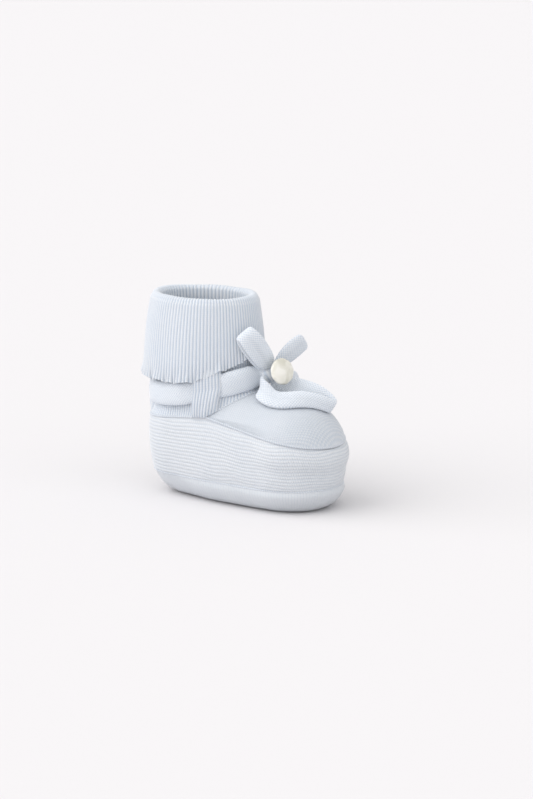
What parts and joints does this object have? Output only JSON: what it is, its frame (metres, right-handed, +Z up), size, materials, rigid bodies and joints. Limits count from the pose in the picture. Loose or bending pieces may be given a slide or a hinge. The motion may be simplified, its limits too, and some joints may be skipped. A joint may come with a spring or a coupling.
{
  "type": "baby bootie",
  "caption": "Knitted baby bootie with a turned-down ribbed cuff, a tie threaded through the ankle and a bow held by a pearl button.",
  "frame": {"origin": "middle of the bootie's footprint, on the surface it stands on", "axes": "+X from heel to toe, +Z up; +Y is the side away from the bow's upper loop"},
  "size_m": [0.1001, 0.0502, 0.0925],
  "materials": {
    "sole_knit": "soft matt cotton knit, pale blue",
    "ridge_knit": "soft matt cotton knit, pale blue",
    "vamp_knit": "soft matt cotton knit, pale blue",
    "rib_knit": "soft matt cotton knit, pale blue",
    "leg_rib": "soft matt cotton knit, pale blue",
    "cuff_rib": "soft matt cotton knit, pale blue",
    "linking_yarn": "twisted cotton yarn, pale blue",
    "tie_tape": "soft matt cotton knit, pale blue",
    "pearl": "polished pearl shell, ivory",
    "sewing_thread": "spun thread, white"
  },
  "bodies": {
    "bootie": {"sole": "sole_knit", "side_wall": "ridge_knit", "vamp": "vamp_knit", "ankle_band": "rib_knit", "leg_tube": "leg_rib", "cuff": "cuff_rib", "sole_seam": "linking_yarn", "vamp_seam": "linking_yarn", "ankle_seam": "linking_yarn", "heel_seam": "linking_yarn", "ankle_tape": "tie_tape", "bow_knot": "tie_tape"},
    "thread_shank": {"button_thread": "sewing_thread"},
    "pearl_button": {"button": "pearl"},
    "upper_loop": {"loop_upper": "tie_tape"},
    "toe_loop": {"loop_toe": "tie_tape"},
    "upper_tail": {"tail_up": "tie_tape"},
    "far_tail": {"tail_far": "tie_tape"}
  },
  "joints": [
    {"name": "button_tilt", "type": "hinge", "parent": "bootie", "child": "thread_shank", "pos_m": [0.01496, -0.00031, 0.0594], "axis": [-0.3714, -0.9285, 0.0002], "range_deg": [-6, 6], "stiffness_Nm_per_rad": 0.0005},
    {"name": "button_turn", "type": "hinge", "parent": "thread_shank", "child": "pearl_button", "pos_m": [0.01496, -0.00031, 0.0594], "axis": [0.8991, -0.3596, 0.2497], "range_deg": [-20, 20], "stiffness_Nm_per_rad": 0.0003},
    {"name": "upper_loop_lift", "type": "hinge", "parent": "bootie", "child": "upper_loop", "pos_m": [0.01244, 0.0007, 0.0587], "axis": [0.3045, 0.8418, 0.4457], "range_deg": [0, 8], "stiffness_Nm_per_rad": 0.001},
    {"name": "toe_loop_lift", "type": "hinge", "parent": "bootie", "child": "toe_loop", "pos_m": [0.01244, 0.0007, 0.0587], "axis": [0.2336, -0.9435, -0.235], "range_deg": [0, 12], "stiffness_Nm_per_rad": 0.001},
    {"name": "upper_tail_swing", "type": "hinge", "parent": "bootie", "child": "upper_tail", "pos_m": [0.01244, 0.0007, 0.0587], "axis": [0.3146, 0.602, -0.7339], "range_deg": [-8, 20], "stiffness_Nm_per_rad": 0.001},
    {"name": "far_tail_lift", "type": "hinge", "parent": "bootie", "child": "far_tail", "pos_m": [0.01244, 0.0007, 0.0587], "axis": [0.4467, -0.3178, -0.8363], "range_deg": [0, 20], "stiffness_Nm_per_rad": 0.001}
  ]
}
